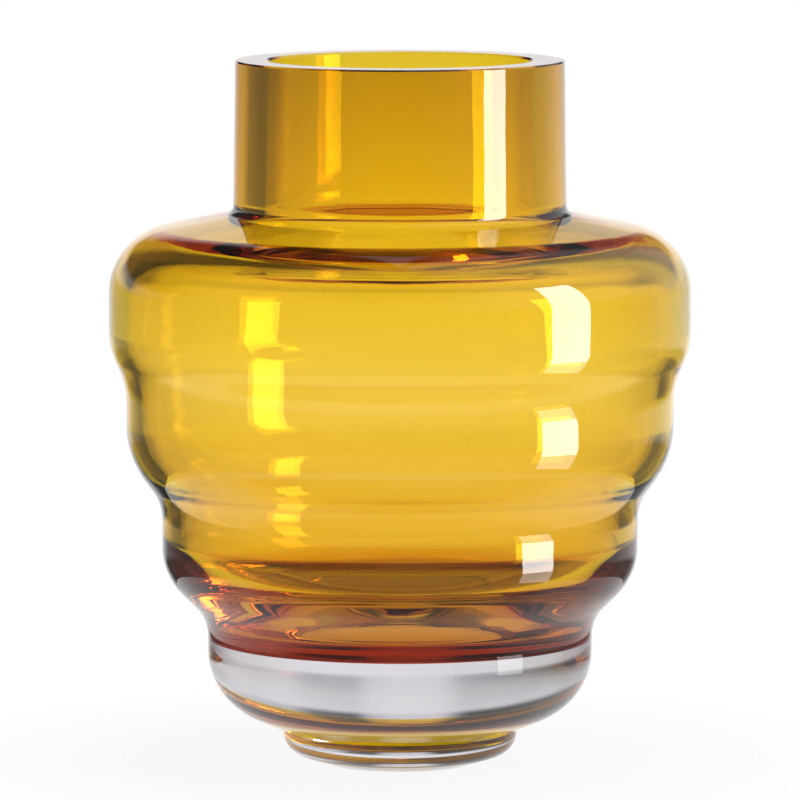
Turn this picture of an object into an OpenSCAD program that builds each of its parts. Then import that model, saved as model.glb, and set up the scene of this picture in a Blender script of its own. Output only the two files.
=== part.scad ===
// Heavy blown vase of amber glass on a solid crystal base with a small foot.
// Millimetres, +Z up. The origin is the middle of the face it rests on.
// Every piece is turned about the Z axis, and the pieces meet on flat seams.

/* [Overall] */
// Height of the vase, from the rest face to the ground rim
vase_h = 250; // [210:1:320]
// Largest diameter, at the first ring under the shoulder
body_d = 206.4; // [176:0.1:260]

/* [Neck and rim] */
// Outside diameter of the neck at the rim
rim_d = 116.7; // [102:0.1:130]
// Outside diameter of the neck where it meets the shoulder
neck_foot_d = 118.1; // [102:0.1:130]
// Thickness of the glass at the rim
rim_wall = 11.7; // [6:0.1:18]
// Thickness of the neck's glass where it meets the shoulder
neck_foot_wall = 11.2; // [5:0.1:14]
// Width of the polished bevel on the rim's outer edge
rim_bevel_out = 0.6; // [0.3:0.1:1.5]
// Width of the polished bevel on the rim's inner edge
rim_bevel_in = 0.8; // [0.3:0.1:2]
// Radius of the hollow corner between the neck and the shoulder
neck_fillet_r = 3.3; // [2:0.1:8]

/* [Shoulder] */
// Height that the shoulder falls between the neck and its rounded edge
shoulder_fall = 6.3; // [3:0.1:12]
// How far the shoulder's first bend stands inside the first ring
shoulder_in = 13.5; // [10:0.5:20]
// Height of the shoulder's rounded edge
shoulder_edge_h = 10.7; // [6:0.1:16]
// Radius of the shoulder's first bend
shoulder_r = 27; // [12:1:36]
// Thickness of the glass in the shoulder
shoulder_wall = 8.5; // [5:0.5:12]

/* [Rings] */
// Height of the first ring between its two bends
ring1_h = 31.2; // [20:0.1:40]
// Radius of the bend at the top of the first ring
ring1_top_r = 25.5; // [12:1:30]
// Radius of the bend at the bottom of the first ring
ring1_low_r = 26.5; // [12:1:30]
// Thickness of the glass in the upper part of the first ring
ring1_wall = 8; // [5:0.5:10]
// How far the second ring stands inside the first one
step1_in = 6; // [3:0.5:10]
// Height of the slope between the first and second rings
step1_h = 12.2; // [10:0.1:20]
// Height of the second ring between its two bends
ring2_h = 25.6; // [16:0.1:36]
// Radius of the hollow bend at the top of the second ring
ring2_top_r = 31.5; // [10:1:40]
// Radius of the bend at the bottom of the second ring
ring2_low_r = 33; // [10:1:40]
// Thickness of the glass in the second ring
ring2_wall = 5.5; // [4:0.5:9]
// How far the third ring stands inside the second one
step2_in = 12.6; // [8:0.1:16]
// Height of the slope between the second and third rings
step2_h = 17.3; // [12:0.1:24]
// Height of the third ring between its two bends
ring3_h = 25.3; // [18:0.1:36]
// Radius of the hollow bend at the top of the third ring
ring3_top_r = 18.5; // [8:1:30]
// Radius of the bend at the bottom of the third ring
ring3_low_r = 23; // [8:0.5:30]
// Thickness of the glass in the third ring
ring3_wall = 6.5; // [4:0.5:10]

/* [Floor of the vessel] */
// Thickness of the amber glass between the hollow and the seam, on the axis
floor_t = 8; // [6:0.5:16]
// Diameter of the flat middle of the dished floor
dish_d = 78; // [50:1:86]
// Diameter of the dished floor where the side begins to rise
floor_d = 118; // [96:1:130]
// Height of the dish between its flat middle and its edge
dish_h = 9; // [4:0.5:10]
// Height of the hollow's lowest corner above the third ring's lower bend
knee_rise = 4.1; // [2:0.1:10]

/* [Crystal base] */
// How far the crystal base stands inside the third ring
step3_in = 16.2; // [12:0.1:20]
// Height of the slope between the third ring and the base
step3_h = 16; // [11:0.5:22]
// Straight height of the amber glass above the seam, up to its hollow bend
seam_rise = 6.9; // [6:0.1:12]
// Radius of the hollow bend above the seam
base_top_r = 16.5; // [6:0.5:20]
// Height of the crystal base, from its foot to the seam
base_h = 33.2; // [28:0.1:42]
// Height of the rounded underside of the base
underside_h = 12.2; // [8:0.1:16]
// Radius of the bend between the base's side and its underside
base_low_r = 25.5; // [8:0.5:28]

/* [Foot] */
// Diameter of the foot where it is fused to the base
foot_d = 83.2; // [66:0.1:96]
// Height of the foot
foot_h = 11.3; // [9:0.1:16]
// Height of the foot's rounded lower edge
foot_round_h = 4.5; // [3:0.5:6]
// Radius of the foot's rounded lower edge
foot_r = 8; // [3:0.5:8]
// Diameter of the flat face that the vase rests on
rest_d = 56.4; // [44:0.1:60]

/* [Hidden] */

// Largest turn of one straight stretch of a rounded corner, in degrees
arc_step = 5;
// Share of a side that the bends at its two ends may take together
side_share = 0.98;
// Corners with less than this half turn, in degrees, stay plain
plain_turn = 0.25;
$fn = 180;

amber = [0.86, 0.60, 0.08, 0.6];
crystal = [0.86, 0.85, 0.88, 0.4];

// Radii of the rings and of the base
ring1_r = body_d / 2;
ring2_r = ring1_r - step1_in;
ring3_r = ring2_r - step2_in;
base_r = ring3_r - step3_in;

// Heights, from the rest face up
seam_z = foot_h + base_h;
base_bend_z = seam_z + seam_rise;
ring3_low_z = base_bend_z + step3_h;
ring3_top_z = ring3_low_z + ring3_h;
ring2_low_z = ring3_top_z + step2_h;
ring2_top_z = ring2_low_z + ring2_h;
ring1_low_z = ring2_top_z + step1_h;
ring1_top_z = ring1_low_z + ring1_h;
shoulder_z = ring1_top_z + shoulder_edge_h;
neck_z = shoulder_z + shoulder_fall;
floor_z = seam_z + floor_t;
dish_z = floor_z + dish_h;
knee_z = ring3_low_z + knee_rise;

// Corners of the outside, from the rim down to the seam, and how thick the
// glass is above and below each: [radius, height, bend radius, above, below]
outside = [
    [rim_d / 2, vase_h, 0, rim_wall, rim_wall],
    [neck_foot_d / 2, neck_z, neck_fillet_r, neck_foot_wall, shoulder_wall],
    [ring1_r - shoulder_in, shoulder_z, shoulder_r, shoulder_wall, shoulder_wall],
    [ring1_r, ring1_top_z, ring1_top_r, ring1_wall, ring1_wall],
    [ring1_r, ring1_low_z, ring1_low_r, ring2_wall, ring2_wall],
    [ring2_r, ring2_top_z, ring2_top_r, ring2_wall, ring2_wall],
    [ring2_r, ring2_low_z, ring2_low_r, ring2_wall, ring2_wall],
    [ring3_r, ring3_top_z, ring3_top_r, ring3_wall, ring3_wall],
    [ring3_r, ring3_low_z, ring3_low_r, ring3_wall, ring3_wall],
    [base_r, base_bend_z, base_top_r, 0, 0],
    [base_r, seam_z, 0, 0, 0]
];
// The corners of the outside that the hollow follows, in the order above
first_followed = 1;
last_followed = 7;

function flat(p) = [p[0], p[1]];
function unit(v) = v / norm(v);
function cross2(u, v) = u[0] * v[1] - u[1] * v[0];

// A way down the outside has the hollow on its right-hand side
function inward(a, b) = let (d = unit(b - a)) [d[1], -d[0]];

// The point inside corner b where the glass is t thick above and s thick below
function inside_of(a, b, c, t, s) =
    let (n = inward(a, b), m = inward(b, c), turn = cross2(n, m))
    abs(turn) < 0.001 ? b + n * t :
    b + [t * m[1] - s * n[1], s * n[0] - t * m[0]] / turn;

// A bend keeps its centre when it is followed inside the glass
function inside_bend(a, b, c, r, t) =
    cross2(b - a, c - b) < 0 ? max(r - t, t) : r + t;

// Half of the turn that an outline makes at corner i, in degrees
function half_turn(q, i) =
    let (
        n = len(q),
        u = unit(flat(q[(i + n - 1) % n]) - flat(q[i])),
        w = unit(flat(q[(i + 1) % n]) - flat(q[i]))
    )
    90 - acos(max(-1, min(1, u * w))) / 2;

// How far corner i's bend would reach along each of its sides
function wanted(q, i) = q[i][2] * tan(half_turn(q, i));

// What two bends leave of their reach where they share one side
function left_by(q, i, j) =
    let (side = norm(flat(q[i]) - flat(q[j])), both = wanted(q, i) + wanted(q, j))
    both > side_share * side ? side_share * side / both : 1;

// Corner i as an arc of its radius, or smaller where its sides are short
function bend(q, i) =
    q[i][2] <= 0 || half_turn(q, i) < plain_turn ? [flat(q[i])] :
    let (
        n = len(q),
        a = flat(q[(i + n - 1) % n]),
        b = flat(q[i]),
        c = flat(q[(i + 1) % n]),
        half = half_turn(q, i),
        reach = wanted(q, i) * min(left_by(q, i, (i + n - 1) % n), left_by(q, i, (i + 1) % n)),
        radius = reach / tan(half),
        u = unit(a - b),
        centre = b + unit(u + unit(c - b)) * radius / cos(half),
        start = b + u * reach - centre,
        side = cross2(b - a, c - b) > 0 ? 1 : -1,
        steps = ceil(2 * half / arc_step)
    )
    [for (k = [0 : steps])
        let (s = side * 2 * half * k / steps)
        centre + [start[0] * cos(s) - start[1] * sin(s),
                  start[0] * sin(s) + start[1] * cos(s)]];

// An outline of [radius, height, bend radius] corners with its bends made
function rounded(q) = [for (i = [0 : len(q) - 1]) each bend(q, i)];

// Corners of the hollow beside the neck, the shoulder and the rings
followed = [for (i = [first_followed : last_followed])
    let (
        a = flat(outside[i - 1]),
        b = flat(outside[i]),
        c = flat(outside[i + 1]),
        t = outside[i][3],
        s = outside[i][4],
        p = inside_of(a, b, c, t, s)
    )
    [p[0], p[1], inside_bend(a, b, c, outside[i][2], (t + s) / 2)]];

module turned(corners) {
    rotate_extrude() polygon(rounded(corners));
}

module amber_vessel() {
    mouth_r = rim_d / 2 - rim_wall;
    rim = [
        [rim_d / 2 - rim_bevel_out, vase_h, 0],
        [rim_d / 2, vase_h - rim_bevel_out, 0]
    ];
    mouth = [
        [mouth_r, vase_h - rim_bevel_in, 0],
        [mouth_r + rim_bevel_in, vase_h, 0]
    ];
    hollow = [for (i = [len(followed) - 1 : -1 : 0]) followed[i]];
    dish = [
        [0, floor_z, 0],
        [dish_d / 2, floor_z, dish_d / 2],
        [floor_d / 2, dish_z, dish_d / 4],
        [ring3_r - ring3_wall, knee_z, ring3_low_r - ring3_wall]
    ];
    body = [for (i = [first_followed : len(outside) - 1]) outside[i]];
    color(amber) turned(concat(rim, body, [[0, seam_z, 0]], dish, hollow, mouth));
}

module crystal_base() {
    color(crystal) turned([
        [0, foot_h, 0],
        [foot_d / 2, foot_h, 0],
        [base_r, foot_h + underside_h, base_low_r],
        [base_r, seam_z, 0],
        [0, seam_z, 0]
    ]);
}

module crystal_foot() {
    color(crystal) turned([
        [0, 0, 0],
        [rest_d / 2, 0, 0],
        [foot_d / 2, foot_round_h, foot_r],
        [foot_d / 2, foot_h, 0],
        [0, foot_h, 0]
    ]);
}

amber_vessel();
crystal_base();
crystal_foot();
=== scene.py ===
# %% [markdown]
# # A heavy amber vase on a crystal base
#
# A vase of this kind is made from gathers of hot glass, fused into one. Here there are three: an
# amber vessel with rings, a solid base of clear crystal under it, and a small crystal foot. This
# lesson turns each of them from its own outline and gives each a glass of its own.

# %% Load the construction
import math
import bpy
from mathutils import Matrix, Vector


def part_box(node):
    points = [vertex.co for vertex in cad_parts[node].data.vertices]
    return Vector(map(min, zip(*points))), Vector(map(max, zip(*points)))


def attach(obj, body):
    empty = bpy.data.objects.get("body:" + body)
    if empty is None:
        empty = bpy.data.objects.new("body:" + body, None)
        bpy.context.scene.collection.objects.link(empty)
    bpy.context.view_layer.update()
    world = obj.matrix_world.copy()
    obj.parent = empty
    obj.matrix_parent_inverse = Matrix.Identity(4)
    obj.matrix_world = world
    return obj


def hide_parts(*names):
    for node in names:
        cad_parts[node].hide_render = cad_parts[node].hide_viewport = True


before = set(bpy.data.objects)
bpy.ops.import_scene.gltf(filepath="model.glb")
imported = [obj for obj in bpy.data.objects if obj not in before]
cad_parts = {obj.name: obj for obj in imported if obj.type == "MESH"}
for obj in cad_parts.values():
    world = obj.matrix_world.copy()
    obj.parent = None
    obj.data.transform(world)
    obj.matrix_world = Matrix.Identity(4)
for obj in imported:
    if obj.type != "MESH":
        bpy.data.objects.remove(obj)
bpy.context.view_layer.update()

mm = 0.001
print("nodes:", sorted(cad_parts))

# %% [markdown]
# ## The places that the construction gives
#
# Three boxes hold most of what is needed: the seams are the flat faces where one piece's box ends
# and the next begins, and half a box's width is a radius, because every piece is round.

# %% Seams and radii
vessel_low, vessel_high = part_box("amber_vessel")
base_low, base_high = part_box("crystal_base")
foot_low, foot_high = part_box("crystal_foot")

rim_z = vessel_high.z
seam_z = vessel_low.z
foot_seam_z = base_low.z
rest_z = foot_low.z

ring1_r = vessel_high.x
base_r = base_high.x
foot_r = foot_high.x
print("seams at", round(seam_z / mm, 2), "and", round(foot_seam_z / mm, 2), "mm")
print("radii:", [round(r / mm, 2) for r in (ring1_r, base_r, foot_r)])

# %% [markdown]
# ## The outline as corners
#
# A turned shape is easiest to think of as a few corners, each with the radius of its bend. A corner
# here is (radius, height, bend radius). The vessel has one outline outside, from the rim down to
# the seam, and the hollow follows it inside, closer to it where the glass is thin.

# %% Heights and radii down the outside of the vessel
neck_z = rim_z - 54.0 * mm
shoulder_z = neck_z - 6.3 * mm
ring1_top_z = shoulder_z - 10.7 * mm
ring1_low_z = ring1_top_z - 31.2 * mm
ring2_top_z = ring1_low_z - 12.2 * mm
ring2_low_z = ring2_top_z - 25.6 * mm
ring3_top_z = ring2_low_z - 17.3 * mm
ring3_low_z = ring3_top_z - 25.3 * mm
base_bend_z = seam_z + 6.9 * mm

rim_r = 58.35 * mm
neck_foot_r = 59.05 * mm
shoulder_r = ring1_r - 13.5 * mm
ring2_r = ring1_r - 6.0 * mm
ring3_r = ring2_r - 12.6 * mm

rim_wall = 11.7 * mm
neck_foot_wall = 11.2 * mm
shoulder_wall = 8.5 * mm
ring1_wall = 8.0 * mm
ring2_wall = 5.5 * mm
ring3_wall = 6.5 * mm
ring3_low_bend = 23.0 * mm

# A corner: (radius, height, bend radius, thickness of the glass above it, and below it)
outside = [
    (rim_r, rim_z, 0.0, rim_wall, rim_wall),
    (neck_foot_r, neck_z, 3.3 * mm, neck_foot_wall, shoulder_wall),
    (shoulder_r, shoulder_z, 27.0 * mm, shoulder_wall, shoulder_wall),
    (ring1_r, ring1_top_z, 25.5 * mm, ring1_wall, ring1_wall),
    (ring1_r, ring1_low_z, 26.5 * mm, ring2_wall, ring2_wall),
    (ring2_r, ring2_top_z, 31.5 * mm, ring2_wall, ring2_wall),
    (ring2_r, ring2_low_z, 33.0 * mm, ring2_wall, ring2_wall),
    (ring3_r, ring3_top_z, 18.5 * mm, ring3_wall, ring3_wall),
    (ring3_r, ring3_low_z, ring3_low_bend, ring3_wall, ring3_wall),
    (base_r, base_bend_z, 16.5 * mm, 0.0, 0.0),
    (base_r, seam_z, 0.0, 0.0, 0.0),
]
print(len(outside), "corners outside, from the rim down to the seam")
print("smallest step between rings, in mm:", round((ring1_r - ring2_r) / mm, 1))

# %% [markdown]
# The hollow's corners are worked out from the outside ones: each lies where the glass has the given
# thickness above and below it. A bend keeps its centre, so its radius gets smaller on the inside of
# a turn and larger on the outside of one. It never gets smaller than the glass is thick.

# %% The hollow that follows the outside
def inward(a, b):
    """The way into the glass from a stretch of the outline that runs down from a to b."""
    way = (b - a).normalized()
    return Vector((way.y, -way.x))


def turn_side(a, b, c):
    """1 where the outline turns left at b, -1 where it turns right."""
    return 1 if (b - a).cross(c - b) > 0 else -1


def behind(a, b, c):
    """The corner of the hollow behind corner b, with its bend radius."""
    here, before, after = (Vector(p[:2]) for p in (b, a, c))
    first, second = inward(before, here), inward(here, after)
    above, below = b[3], b[4]
    step = Vector((above * second.y - below * first.y, below * first.x - above * second.x))
    spot = here + step / first.cross(second)
    wall = (above + below) / 2
    bulges = turn_side(before, here, after) < 0
    bend = max(b[2] - wall, wall) if bulges else b[2] + wall
    return (spot.x, spot.y, bend)


FIRST_FOLLOWED, LAST_FOLLOWED = 1, 7   # the foot of the neck and the top of the third ring
followed = [behind(*outside[i - 1:i + 2]) for i in range(FIRST_FOLLOWED, LAST_FOLLOWED + 1)]
print("hollow's corners beside the rings, in mm:")
print([tuple(round(v / mm, 1) for v in corner) for corner in followed])

# %% [markdown]
# ## Drawing a bend with the spin tool
#
# A bend starts and ends at the same distance from its corner. Two bends that share a short side
# may want more of it than there is, and then both give way in proportion.

# %% Bends
SIDE_SHARE = 0.98                     # of a side that the bends at its two ends may take
PLAIN_TURN = math.radians(0.25)       # a corner that turns by less stays plain
BEND_STEP = math.radians(2.5)         # one straight stretch of a bend


def half_turn(corners, i):
    here = Vector(corners[i][:2])
    before = Vector(corners[i - 1][:2])
    after = Vector(corners[(i + 1) % len(corners)][:2])
    return math.pi / 2 - (before - here).angle(after - here) / 2


def wanted(corners, i):
    return corners[i][2] * math.tan(half_turn(corners, i)) if corners[i][2] > 0 else 0.0


def left_by(corners, i, j):
    side = (Vector(corners[i][:2]) - Vector(corners[j][:2])).length
    both = wanted(corners, i) + wanted(corners, j)
    return SIDE_SHARE * side / both if both > SIDE_SHARE * side else 1.0


def bend_at(corners, i):
    """Where the bend at corner i starts, its centre and its signed turn; None at a plain corner."""
    half = half_turn(corners, i)
    if corners[i][2] <= 0 or half < PLAIN_TURN:
        return None
    after_i = (i + 1) % len(corners)
    here, before, after = (Vector(corners[k][:2]) for k in (i, i - 1, after_i))
    reach = wanted(corners, i) * min(left_by(corners, i, i - 1), left_by(corners, i, after_i))
    back, on = (before - here).normalized(), (after - here).normalized()
    centre = here + (back + on).normalized() * reach / math.sin(half)
    return here + back * reach, centre, turn_side(before, here, after) * 2 * half


print("the neck's fillet turns by", round(math.degrees(2 * half_turn(outside, 1))), "degrees")

# %% [markdown]
# The outline is then drawn as with a pencil: extrude the last point to where a bend starts, spin it
# around the bend's centre, and go on. Spinning the finished outline around the upright axis, in 256
# steps, gives the turned piece. Its first and last rows lie on each other, and so do all the copies
# of a point on the axis, so doubles are merged and then the normals are made to point outwards.

# %% Turning a piece from its outline
TURN_STEPS = 256
SEAM_GAP = 0.02 * mm                  # keeps two fused faces from lying exactly on each other


def pen_to(spot, last):
    bpy.ops.mesh.extrude_region_move(
        TRANSFORM_OT_translate={"value": (spot.x - last.x, 0.0, spot.y - last.y)}
    )
    return spot


def draw_outline(name, corners):
    """A new object, in edit mode, whose edges follow the corners in the upright X and Z plane."""
    bpy.ops.object.select_all(action="DESELECT")
    bpy.ops.mesh.primitive_plane_add(size=mm, enter_editmode=True)
    bpy.context.object.name = name
    bpy.ops.mesh.merge(type="CENTER")
    last = Vector(corners[0][:2])
    bpy.ops.transform.translate(value=(last.x, 0.0, last.y))
    for i in range(1, len(corners)):
        bend = bend_at(corners, i)
        if bend is None:
            last = pen_to(Vector(corners[i][:2]), last)
            continue
        start, centre, turn = bend
        pen_to(start, last)
        arm = start - centre
        bpy.ops.mesh.spin(
            steps=max(2, math.ceil(abs(turn) / BEND_STEP)),
            angle=turn,
            center=(centre.x, 0.0, centre.y),
            axis=(0.0, 1.0, 0.0),
        )
        last = centre + Vector(
            (arm.x * math.cos(turn) - arm.y * math.sin(turn),
             arm.x * math.sin(turn) + arm.y * math.cos(turn))
        )
    return bpy.context.object


def turned(name, corners, sharp=30.0):
    """A closed round piece, smooth but for the edges that turn by more than sharp degrees."""
    piece = draw_outline(name, corners)
    bpy.ops.mesh.select_all(action="SELECT")
    bpy.ops.mesh.spin(steps=TURN_STEPS, angle=2 * math.pi, center=(0, 0, 0), axis=(0, 0, 1))
    bpy.ops.mesh.select_all(action="SELECT")
    bpy.ops.mesh.remove_doubles(threshold=0.005 * mm)
    bpy.ops.mesh.normals_make_consistent(inside=False)
    bpy.ops.object.mode_set(mode="OBJECT")
    bpy.ops.object.shade_smooth_by_angle(angle=math.radians(sharp))
    print(name, "has", len(piece.data.polygons), "faces")
    return piece


# %% [markdown]
# ## The amber vessel
#
# The rim was cut flat and polished, which leaves a hair of a bevel outside and one a little wider
# inside. Inside, the neck is nearly straight, and the hollow follows the shoulder and the rings down
# to a floor that dips to a flat middle. The glass under that floor is solid down to the seam.

# %% The vessel's outline
BEVEL_OUT = 0.6 * mm
BEVEL_IN = 0.8 * mm
DISH_R = 39.0 * mm                    # of the flat middle of the floor
FLOOR_R = 59.0 * mm                   # of the floor, up to where the side begins to rise
mouth_r = rim_r - rim_wall
floor_z = seam_z + 8.0 * mm
dish_edge_z = floor_z + 9.0 * mm
knee_z = ring3_low_z + 4.1 * mm
hollow_r = ring3_r - ring3_wall

rim = [
    (mouth_r, rim_z - BEVEL_IN, 0.0),
    (mouth_r + BEVEL_IN, rim_z, 0.0),
    (rim_r - BEVEL_OUT, rim_z, 0.0),
    (rim_r, rim_z - BEVEL_OUT, 0.0),
]
dish = [
    (0.0, floor_z, 0.0),
    (DISH_R, floor_z, DISH_R),
    (FLOOR_R, dish_edge_z, DISH_R / 2),
    (hollow_r, knee_z, ring3_low_bend - ring3_wall),
]
side = [corner[:3] for corner in outside[1:]]
vessel_outline = dish + followed[::-1] + rim + side + [(0.0, seam_z, 0.0)]
amber_vessel = turned("amber_vessel_glass", vessel_outline)
print("mouth across, in mm:", round(2 * mouth_r / mm, 1))

# %% [markdown]
# ## The crystal base and its foot
#
# Both are solid. The base's side goes straight down from the seam and bends under to the foot, and
# the foot's lower edge is rounded in to the flat face that the vase stands on.

# %% Base and foot
UNDERSIDE_H = 12.2 * mm
FOOT_ROUND_H = 4.5 * mm
rest_r = 28.2 * mm

crystal_base = turned("crystal_base_glass", [
    (0.0, foot_seam_z + SEAM_GAP, 0.0),
    (foot_r, foot_seam_z + SEAM_GAP, 0.0),
    (base_r, foot_seam_z + UNDERSIDE_H, 25.5 * mm),
    (base_r, seam_z - SEAM_GAP, 0.0),
    (0.0, seam_z - SEAM_GAP, 0.0),
])
crystal_foot = turned("crystal_foot_glass", [
    (0.0, rest_z, 0.0),
    (rest_r, rest_z, 0.0),
    (foot_r, FOOT_ROUND_H, 8.0 * mm),
    (foot_r, foot_seam_z - SEAM_GAP, 0.0),
    (0.0, foot_seam_z - SEAM_GAP, 0.0),
])

# %% [markdown]
# Each turned piece stands for one construction solid and rides on the same body. The solids stay
# in the file for the physics and are hidden.

# %% Tie the pieces to the construction
PIECES = {
    "amber_vessel": (amber_vessel, "amber_glass"),
    "crystal_base": (crystal_base, "crystal_glass"),
    "crystal_foot": (crystal_foot, "foot_glass"),
}
for node, (piece, slot_name) in PIECES.items():
    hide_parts(node)
    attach(piece, "root")
    print(piece.name, "stands for", node)

# %% [markdown]
# ## Three effects that the glasses share
#
# Blown glass is never quite even. Its wall has soft rings from the turning and slow swirls between
# them, and they are what bends a reflection into a wavy line. The first effect gives them as a
# height for a Bump node. The second says where a face is fused to the next piece, so that light
# passes it as if it weren't there. The third gives the polish, which is duller where the glass was
# ground.

# %% Helpers for shader nodes
def new_group(name, inputs, outputs):
    """A shader node group with its sockets; returns the tree and its two end nodes."""
    tree = bpy.data.node_groups.new(name, "ShaderNodeTree")
    for socket_name, kind, value in inputs:
        socket = tree.interface.new_socket(socket_name, in_out="INPUT", socket_type=kind)
        if value is not None:
            socket.default_value = value
    for socket_name, kind in outputs:
        tree.interface.new_socket(socket_name, in_out="OUTPUT", socket_type=kind)
    return tree, tree.nodes.new("NodeGroupInput"), tree.nodes.new("NodeGroupOutput")


def put(tree, kind, **values):
    """A new node with its properties and, by socket name, its values."""
    node = tree.nodes.new(kind)
    for key, value in values.items():
        if hasattr(node, key):
            setattr(node, key, value)
        else:
            node.inputs[key.replace("_", " ")].default_value = value
    return node


def maths(tree, operation, first, second=None):
    """A Math node; first and second are sockets or plain numbers. Returns its result."""
    node = tree.nodes.new("ShaderNodeMath")
    node.operation = operation
    for slot_index, value in enumerate((first, second)):
        if isinstance(value, bpy.types.NodeSocket):
            tree.links.new(value, node.inputs[slot_index])
        elif value is not None:
            node.inputs[slot_index].default_value = value
    return node.outputs[0]


# %% Effect 1: the blown ripple
def make_ripple():
    """Height of the waves left in blown glass: rings around the axis, bent by slow swirls."""
    tree, start, end = new_group(
        "Blown ripple",
        [("Position", "NodeSocketVector", None),
         ("Swirl", "NodeSocketFloat", 45.0),
         ("Rings", "NodeSocketFloat", 120.0),
         ("Ring share", "NodeSocketFloat", 0.4)],
        [("Height", "NodeSocketFloat")],
    )
    swirl = put(tree, "ShaderNodeTexNoise", Detail=2.0, Roughness=0.45)
    tree.links.new(start.outputs["Position"], swirl.inputs["Vector"])
    tree.links.new(start.outputs["Swirl"], swirl.inputs["Scale"])
    squeeze = put(tree, "ShaderNodeVectorMath", operation="MULTIPLY")
    squeeze.inputs[1].default_value = (0.16, 0.16, 1.0)
    tree.links.new(start.outputs["Position"], squeeze.inputs[0])
    rings = put(tree, "ShaderNodeTexNoise", Detail=1.5, Roughness=0.4)
    tree.links.new(squeeze.outputs[0], rings.inputs["Vector"])
    tree.links.new(start.outputs["Rings"], rings.inputs["Scale"])
    part = maths(tree, "MULTIPLY", rings.outputs[0], start.outputs["Ring share"])
    tree.links.new(maths(tree, "ADD", swirl.outputs[0], part), end.inputs["Height"])
    return tree


ripple = make_ripple()
print("effect:", ripple.name)


# %% Effect 2: a face fused to the next piece
def make_fused_face():
    """1 on the flat faces at two heights, and 0 everywhere else."""
    tree, start, end = new_group(
        "Fused face",
        [("Position", "NodeSocketVector", None),
         ("Upper seam", "NodeSocketFloat", 0.0),
         ("Lower seam", "NodeSocketFloat", 0.0)],
        [("Mask", "NodeSocketFloat")],
    )
    height = put(tree, "ShaderNodeSeparateXYZ")
    tree.links.new(start.outputs["Position"], height.inputs[0])
    above = maths(tree, "GREATER_THAN", height.outputs[2], start.outputs["Upper seam"])
    below = maths(tree, "LESS_THAN", height.outputs[2], start.outputs["Lower seam"])
    tree.links.new(maths(tree, "MAXIMUM", above, below), end.inputs["Mask"])
    return tree


fused_face = make_fused_face()
print("effect:", fused_face.name)


# %% Effect 3: polish, and where it was only ground
def make_polish():
    """Roughness of polished glass with faint wiping marks, duller below a height."""
    tree, start, end = new_group(
        "Polish",
        [("Position", "NodeSocketVector", None),
         ("Marks", "NodeSocketFloat", 260.0),
         ("Dullest mark", "NodeSocketFloat", 0.02),
         ("Ground below", "NodeSocketFloat", -1.0),
         ("Ground roughness", "NodeSocketFloat", 0.2)],
        [("Roughness", "NodeSocketFloat")],
    )
    marks = put(tree, "ShaderNodeTexNoise", Detail=4.0, Roughness=0.6)
    tree.links.new(start.outputs["Position"], marks.inputs["Vector"])
    tree.links.new(start.outputs["Marks"], marks.inputs["Scale"])
    seen = put(tree, "ShaderNodeMapRange", From_Min=0.55, From_Max=0.8)
    tree.links.new(marks.outputs[0], seen.inputs["Value"])
    tree.links.new(start.outputs["Dullest mark"], seen.inputs["To Max"])
    height = put(tree, "ShaderNodeSeparateXYZ")
    tree.links.new(start.outputs["Position"], height.inputs[0])
    ground = maths(tree, "LESS_THAN", height.outputs[2], start.outputs["Ground below"])
    dull = maths(tree, "MULTIPLY", ground, start.outputs["Ground roughness"])
    tree.links.new(maths(tree, "ADD", seen.outputs[0], dull), end.inputs["Roughness"])
    return tree


polish = make_polish()
print("effect:", polish.name)

# %% [markdown]
# ## The glasses
#
# Coloured glass takes its colour inside: light that goes further through it loses more blue and
# then more green, which is what Volume Absorption does, so thick glass is browner than thin. Here
# the surfaces are tinted as well, more at the neck, in the lowest ring and most of all on the
# hollow's floor, because one depth of colour didn't make the walls pale and the floor brown at
# once. Real glass has no such tint, and the floor's is a strong one: partly a deeper amber and
# partly painted shade, for the dim, shadowed table under the vase that the floor shows. The
# crystal has no colour inside, only a lavender grey on its surfaces, partly a tint of its own and
# partly painted shade that dims what it shows of the table and room.

# %% One function that makes a glass
def glass(name, ripple_depth, ripple_values, fused, polish_values):
    """A clear dielectric; returns the material, its shader and the mask of its fused faces."""
    material = bpy.data.materials.new(name)
    material.use_nodes = True
    tree = material.node_tree
    shader = tree.nodes["Principled BSDF"]
    shader.inputs["Transmission Weight"].default_value = 1.0
    shader.inputs["IOR"].default_value = 1.5
    place = put(tree, "ShaderNodeTexCoord").outputs["Object"]
    groups = {}
    for group_tree, values in ((ripple, ripple_values), (fused_face, fused), (polish, polish_values)):
        node = put(tree, "ShaderNodeGroup")
        node.node_tree = group_tree
        tree.links.new(place, node.inputs["Position"])
        for key, value in values.items():
            node.inputs[key].default_value = value
        groups[group_tree.name] = node
    bump = put(tree, "ShaderNodeBump", Strength=1.0, Distance=ripple_depth)
    tree.links.new(groups["Blown ripple"].outputs[0], bump.inputs["Height"])
    tree.links.new(bump.outputs[0], shader.inputs["Normal"])
    tree.links.new(groups["Polish"].outputs[0], shader.inputs["Roughness"])
    print("glass:", name)
    return material, shader, groups["Fused face"].outputs[0]


def through(material, shader, mask):
    """Lets light pass the fused faces as if they weren't there."""
    tree = material.node_tree
    tree.links.new(maths(tree, "SUBTRACT", 1.0, mask), shader.inputs["Alpha"])


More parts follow.
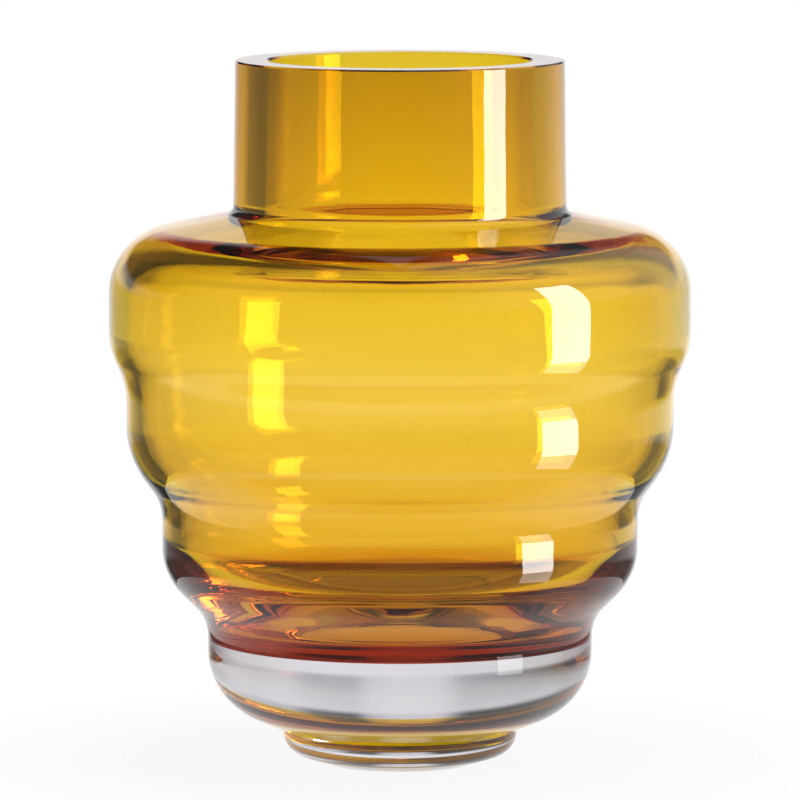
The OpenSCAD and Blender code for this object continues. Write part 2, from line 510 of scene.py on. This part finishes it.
# %% Amber glass
AMBER_LOSS = (8.0, 22.0, 250.0)       # of red, green and blue, per metre of glass
# The floor's colour is partly a deeper amber and partly painted shade of the dim table under the
# vase.
FLOOR_TINT_AND_SHADE = (0.06, 0.008, 0.005)
LOW_SKIN = (0.77, 0.31, 0.01)
RING3_SKIN = (0.97, 0.79, 0.70)
BODY_SKIN = (1.0, 0.87, 0.85)
NECK_SKIN = (0.97, 0.82, 0.70)
RIM_SKIN = (0.80, 0.66, 0.50)
FLOOR_SHADE_R = 64.0 * mm              # the floor's deeper colour and painted shade go this far out
FLOOR_SHADE_TOP = seam_z + 21.0 * mm   # and this far up,
FLOOR_SHADE_FADE = 4.0 * mm                 # and fades over this height
FUSED_IOR = 1.02                      # nearly 1, so that the seam hardly bends or mirrors light
SEAM_MARGIN = 0.01 * mm
FAR_AWAY = 1.0

amber, amber_shader, amber_fused = glass(
    "amber_glass", 0.12 * mm, {"Swirl": 32.0, "Rings": 170.0, "Ring share": 0.35},
    {"Upper seam": FAR_AWAY, "Lower seam": seam_z + SEAM_MARGIN},
    {"Dullest mark": 0.01, "Ground below": -FAR_AWAY},
)


def skin_and_floor_shade(material, shader, stops, floor_tint_and_shade, floor_shade_r, floor_shade_top):
    """Base Color from a ramp over the height of the vase, and on the floor another colour, partly a
    deeper amber and partly painted shade.
    """
    tree = material.node_tree
    spot = put(tree, "ShaderNodeSeparateXYZ")
    tree.links.new(put(tree, "ShaderNodeTexCoord").outputs["Object"], spot.inputs[0])
    share = put(tree, "ShaderNodeMapRange", From_Min=rest_z, From_Max=rim_z)
    tree.links.new(spot.outputs[2], share.inputs["Value"])
    node = put(tree, "ShaderNodeValToRGB")
    node.color_ramp.elements.remove(node.color_ramp.elements[0])
    for index, (level, colour) in enumerate(stops):
        place = (level - rest_z) / (rim_z - rest_z)
        elements = node.color_ramp.elements
        element = elements[0] if index == 0 else elements.new(place)
        element.position = place
        element.color = (*colour, 1.0)
    tree.links.new(share.outputs[0], node.inputs[0])
    # The floor's mask: near the axis and low down, the floor's colour, partly painted shade, replaces
    # the ramp.
    x_square = maths(tree, "POWER", spot.outputs[0], 2.0)
    y_square = maths(tree, "POWER", spot.outputs[1], 2.0)
    squares = maths(tree, "ADD", x_square, y_square)
    inside = maths(tree, "LESS_THAN", squares, floor_shade_r ** 2)
    low = put(
        tree, "ShaderNodeMapRange",
        From_Min=floor_shade_top - FLOOR_SHADE_FADE, From_Max=floor_shade_top, To_Min=1.0, To_Max=0.0,
    )
    tree.links.new(spot.outputs[2], low.inputs["Value"])
    both = put(tree, "ShaderNodeMix", data_type="RGBA")
    tree.links.new(maths(tree, "MULTIPLY", inside, low.outputs[0]), both.inputs[0])
    tree.links.new(node.outputs[0], both.inputs[6])
    both.inputs[7].default_value = (*floor_tint_and_shade, 1.0)
    tree.links.new(both.outputs[2], shader.inputs["Base Color"])


skin_and_floor_shade(amber, amber_shader, [
    (seam_z, LOW_SKIN),
    (base_bend_z + 5 * mm, LOW_SKIN),
    (ring3_low_z, RING3_SKIN),
    (ring3_top_z, RING3_SKIN),
    (ring2_top_z, BODY_SKIN),
    (shoulder_z, BODY_SKIN),
    (neck_z + 10 * mm, NECK_SKIN),
    (rim_z, RIM_SKIN),
], FLOOR_TINT_AND_SHADE, FLOOR_SHADE_R, FLOOR_SHADE_TOP)


# %% Amber glass: the seam, where it is fused to crystal, and the colour inside
def fuse_and_fill(material, shader, mask):
    """Gives the seam a shader of its own and the glass its absorption."""
    tree = material.node_tree
    result = tree.nodes["Material Output"]
    seam_shader = put(tree, "ShaderNodeBsdfPrincipled", Transmission_Weight=1.0, Roughness=0.0)
    seam_shader.inputs["IOR"].default_value = FUSED_IOR
    seam_shader.inputs["Base Color"].default_value = (1.0, 1.0, 1.0, 1.0)
    either = put(tree, "ShaderNodeMixShader")
    tree.links.new(mask, either.inputs[0])
    tree.links.new(shader.outputs[0], either.inputs[1])
    tree.links.new(seam_shader.outputs[0], either.inputs[2])
    tree.links.new(either.outputs[0], result.inputs["Surface"])
    depth = put(tree, "ShaderNodeVolumeAbsorption", Density=max(AMBER_LOSS))
    kept = (1 - loss / max(AMBER_LOSS) for loss in AMBER_LOSS)
    depth.inputs["Color"].default_value = (*kept, 1.0)
    tree.links.new(depth.outputs[0], result.inputs["Volume"])


fuse_and_fill(amber, amber_shader, amber_fused)
amber_vessel.data.materials.append(amber)
print("amber loses", AMBER_LOSS, "of red, green and blue per metre")

# %% Crystal
# A lavender grey on the crystal's surfaces: partly a tint of its own, partly painted shade that dims
# what the crystal shows of the table and room.
CRYSTAL_TINT_AND_SHADE = (0.72, 0.705, 0.75, 1.0)
crystal, crystal_shader, crystal_fused = glass(
    "crystal_glass", 0.05 * mm, {"Swirl": 30.0, "Rings": 90.0, "Ring share": 0.3},
    {"Upper seam": seam_z - SEAM_GAP - SEAM_MARGIN,
     "Lower seam": foot_seam_z + SEAM_GAP + SEAM_MARGIN},
    {"Dullest mark": 0.01, "Ground below": -FAR_AWAY},
)
crystal_shader.inputs["Base Color"].default_value = CRYSTAL_TINT_AND_SHADE
through(crystal, crystal_shader, crystal_fused)
crystal_base.data.materials.append(crystal)

# %% The foot's crystal
GROUND_FACE_H = 0.05 * mm             # only the flat face lies below this
foot_glass, foot_shader, foot_fused = glass(
    "foot_glass", 0.03 * mm, {"Swirl": 40.0, "Rings": 120.0, "Ring share": 0.3},
    {"Upper seam": foot_seam_z - SEAM_GAP - SEAM_MARGIN, "Lower seam": -FAR_AWAY},
    {"Dullest mark": 0.01, "Ground below": rest_z + GROUND_FACE_H, "Ground roughness": 0.08},
)
# The foot takes the same lavender grey, with its painted shade.
foot_shader.inputs["Base Color"].default_value = CRYSTAL_TINT_AND_SHADE
through(foot_glass, foot_shader, foot_fused)
crystal_foot.data.materials.append(foot_glass)

# %% [markdown]
# ## The table
#
# Glass shows what is behind and under it, so the table and the room are half of its look. The
# table is a pale disc. Near the vase some of it is a real diffuse surface, which keeps the soft
# shadow, and towards its edge it turns into plain white, so that it runs into the white room. The
# glass shows that white too, behind the vase and under it. In front of the vase it shows the table
# as it really is, in the dim front of the room.

# %% A pale table
TABLE_R = 0.24
TABLE_GAP = 0.1 * mm
TABLE_GREY = 0.5
SHADE_R = 0.06                        # up to here the table has the most of its shadow,
SHADE_WHITE = 0.92                    # and is this much plain white
FRONT_Y, BACK_Y = -0.12, -0.06        # where the table starts to be white for the glass
CLEAR_R = 0.20                        # from here outwards the camera sees it plain white


def seen_by_eye(tree, behind_share):
    """1 for rays from the camera, and behind the vase for those that glass sends on; else 0."""
    path = put(tree, "ShaderNodeLightPath").outputs
    sent_on = maths(tree, "MAXIMUM", path["Is Glossy Ray"], path["Is Transmission Ray"])
    sent_behind = maths(tree, "MULTIPLY", sent_on, behind_share)
    return maths(tree, "MAXIMUM", path["Is Camera Ray"], sent_behind)


def make_table():
    bpy.ops.object.select_all(action="DESELECT")
    bpy.ops.mesh.primitive_circle_add(
        vertices=128, radius=TABLE_R, fill_type="NGON", location=(0, 0, rest_z - TABLE_GAP)
    )
    table = bpy.context.object
    table.name = "table"
    material = bpy.data.materials.new("table_white")
    material.use_nodes = True
    tree = material.node_tree
    tree.nodes.remove(tree.nodes["Principled BSDF"])
    matt = put(tree, "ShaderNodeBsdfDiffuse", Color=(*(TABLE_GREY for _ in range(3)), 1.0))
    white = put(tree, "ShaderNodeEmission", Color=(1.0, 1.0, 1.0, 1.0), Strength=1.0)
    place = put(tree, "ShaderNodeTexCoord").outputs["Object"]
    distance = put(tree, "ShaderNodeVectorMath", operation="LENGTH")
    tree.links.new(place, distance.inputs[0])
    edge = put(
        tree, "ShaderNodeMapRange",
        From_Min=SHADE_R, From_Max=CLEAR_R, To_Min=SHADE_WHITE, To_Max=1.0,
    )
    edge.interpolation_type = "SMOOTHSTEP"
    tree.links.new(distance.outputs["Value"], edge.inputs["Value"])
    mix = put(tree, "ShaderNodeMixShader")
    across = put(tree, "ShaderNodeSeparateXYZ")
    tree.links.new(place, across.inputs[0])
    back = put(tree, "ShaderNodeMapRange", From_Min=FRONT_Y, From_Max=BACK_Y)
    tree.links.new(across.outputs[1], back.inputs["Value"])
    seen = seen_by_eye(tree, back.outputs[0])
    tree.links.new(maths(tree, "MULTIPLY", seen, edge.outputs[0]), mix.inputs[0])
    tree.links.new(matt.outputs[0], mix.inputs[1])
    tree.links.new(white.outputs[0], mix.inputs[2])
    tree.links.new(mix.outputs[0], tree.nodes["Material Output"].inputs["Surface"])
    table.data.materials.append(material)


make_table()
print("table radius, in m:", TABLE_R)

# %% [markdown]
# ## The room
#
# The room is white to the camera alone. What the glass shows of it changes with direction, as in a
# studio with a lit sweep behind the table and darker sides. Each colour ramp runs once around the
# room, from the camera's side, past the left, to straight behind the vase in its middle, and on
# past the right back to the camera. There are four: well below the horizon, just below it, just
# above it and overhead. Each fades into the next, and straight down all is white.

# %% Light by direction
def ramp(tree, turn, stops):
    """A colour ramp of grey stops, each (degrees from straight behind, right is plus; grey)."""
    node = put(tree, "ShaderNodeValToRGB")
    node.color_ramp.interpolation = "EASE"
    while len(node.color_ramp.elements) > 1:
        node.color_ramp.elements.remove(node.color_ramp.elements[0])
    for index, (degrees, grey) in enumerate(stops):
        place = degrees / 360 + 0.5
        elements = node.color_ramp.elements
        element = elements[0] if index == 0 else elements.new(place)
        element.position = place
        element.color = (grey, grey, grey, 1.0)
    tree.links.new(turn, node.inputs[0])
    return node.outputs[0]


def blend(tree, share, low, high):
    node = put(tree, "ShaderNodeMix", data_type="FLOAT")
    for key, value in ((0, share), (2, low), (3, high)):
        if isinstance(value, bpy.types.NodeSocket):
            tree.links.new(value, node.inputs[key])
        else:
            node.inputs[key].default_value = value
    return node.outputs[0]


def rise(tree, height, start, end):
    """0 below the first elevation and 1 above the second, both in degrees."""
    node = put(
        tree, "ShaderNodeMapRange", interpolation_type="SMOOTHSTEP",
        From_Min=math.sin(math.radians(start)), From_Max=math.sin(math.radians(end)),
    )
    tree.links.new(height, node.inputs["Value"])
    return node.outputs[0]


LOW_LEVEL = [(-180, 0.40), (-80, 0.45), (-55, 0.30), (-42, 0.14), (-22, 0.10), (-13, 0.80),
             (0, 1.05), (14, 1.0), (20, 0.35), (30, 0.17), (45, 0.25), (80, 0.45), (180, 0.40)]
EYE_LEVEL = [(-180, 0.15), (-75, 0.30), (-45, 0.24), (-30, 0.32), (-13, 0.90), (0, 1.08),
             (14, 1.05), (24, 0.85), (45, 0.72), (75, 0.45), (180, 0.15)]
SWEEP = [(-180, 0.22), (-75, 0.40), (-50, 0.60), (-38, 0.80), (-13, 0.98), (0, 1.05),
         (14, 1.05), (45, 0.90), (75, 0.50), (180, 0.22)]
OVERHEAD = [(-180, 0.25), (-110, 0.35), (-60, 0.10), (-15, 0.06), (-7, 0.80), (1, 0.80), (5, 0.65),
            (10, 0.12), (17, 0.16), (27, 0.65), (75, 1.0), (115, 0.85), (180, 0.25)]

# Where one level fades into the next, in degrees above the horizon
LOW_FADE = (-32, -26)
EYE_FADE = (-11, -8)
SWEEP_FADE = (0, 3)
OVERHEAD_FADE = (7, 12)


def make_room():
    world = bpy.data.worlds.new("studio_room")
    bpy.context.scene.world = world
    world.use_nodes = True
    tree = world.node_tree
    way = put(tree, "ShaderNodeSeparateXYZ")
    tree.links.new(put(tree, "ShaderNodeTexCoord").outputs["Generated"], way.inputs[0])
    angle = maths(tree, "ARCTAN2", way.outputs[0], way.outputs[1])
    turn = maths(tree, "ADD", maths(tree, "DIVIDE", angle, 2 * math.pi), 0.5)
    height = way.outputs[2]
    levels = (
        (LOW_FADE, LOW_LEVEL),
        (EYE_FADE, EYE_LEVEL),
        (SWEEP_FADE, SWEEP),
        (OVERHEAD_FADE, OVERHEAD),
    )
    light = 1.0
    for fade, stops in levels:
        light = blend(tree, rise(tree, height, *fade), light, ramp(tree, turn, stops))
    eye = put(tree, "ShaderNodeLightPath").outputs["Is Camera Ray"]
    back = tree.nodes["Background"]
    tree.links.new(blend(tree, eye, light, 1.0), back.inputs["Color"])
    back.inputs["Strength"].default_value = 1.0


make_room()
print("room lit by direction")

# %% [markdown]
# One tall soft lamp stands to the right of the camera and reaches below the table. It is what puts
# the sharp white window on the neck and on each ring, and it shows again inside the vase as the
# yellow windows on the left. Its lower end is dimmer.

# %% The strip lamp
LAMP_TURN = math.radians(67)          # from the camera's direction, to the right
LAMP_AWAY = 0.85
LAMP_W = 0.26
LAMP_PARTS = {                        # name: (bottom, top, radiance)
    "strip_lamp": (-0.06, 0.75, 14.0),
    "strip_lamp_low_end": (-0.26, -0.062, 4.0),
}


def make_lamp(name, bottom, top, radiance):
    foot = Vector((math.sin(LAMP_TURN), -math.cos(LAMP_TURN), 0.0)) * LAMP_AWAY
    bpy.ops.object.light_add(type="AREA", location=foot + Vector((0.0, 0.0, (bottom + top) / 2)))
    lamp = bpy.context.object
    lamp.name = name
    lamp.rotation_euler = foot.to_track_quat("Z", "Y").to_euler()
    lamp.data.shape = "RECTANGLE"
    lamp.data.size, lamp.data.size_y = LAMP_W, top - bottom
    lamp.data.energy = radiance * math.pi * LAMP_W * (top - bottom)
    lamp.visible_camera = False
    print(name, "from", bottom, "to", top, "m")


for lamp_name, lamp_part in LAMP_PARTS.items():
    make_lamp(lamp_name, *lamp_part)

# %% [markdown]
# ## The camera
#
# A long lens from two and a half metres away, a little above the rim, so that the mouth shows as a
# thin ellipse.

# %% Camera
CAMERA_AWAY = 2.487
CAMERA_Z = 0.407
AIM_Z = 0.129
SENSOR_MM, LENS_MM = 36.0, 317.0

bpy.ops.object.camera_add(location=(0.0, -CAMERA_AWAY, CAMERA_Z))
camera = bpy.context.object
camera.name = "camera"
aim = Vector((0.0, 0.0, AIM_Z))
camera.rotation_euler = (aim - camera.location).to_track_quat("-Z", "Y").to_euler()
camera.data.sensor_width = SENSOR_MM
camera.data.lens = LENS_MM
bpy.context.scene.camera = camera
down = math.degrees(math.atan2(CAMERA_Z - AIM_Z, CAMERA_AWAY))
print("camera looks down by", round(down, 1), "degrees")

# %% [markdown]
# Light goes through many faces of glass before it gets out, so it is allowed many more bounces
# than usual. The picture's colours are left as they are rendered.

# %% How light is followed
BOUNCES = 32
scene = bpy.context.scene
scene.cycles.max_bounces = BOUNCES
scene.cycles.transmission_bounces = BOUNCES
scene.cycles.transparent_max_bounces = BOUNCES
scene.cycles.glossy_bounces = BOUNCES // 2
scene.view_settings.view_transform = "Standard"
print("bounces:", BOUNCES)
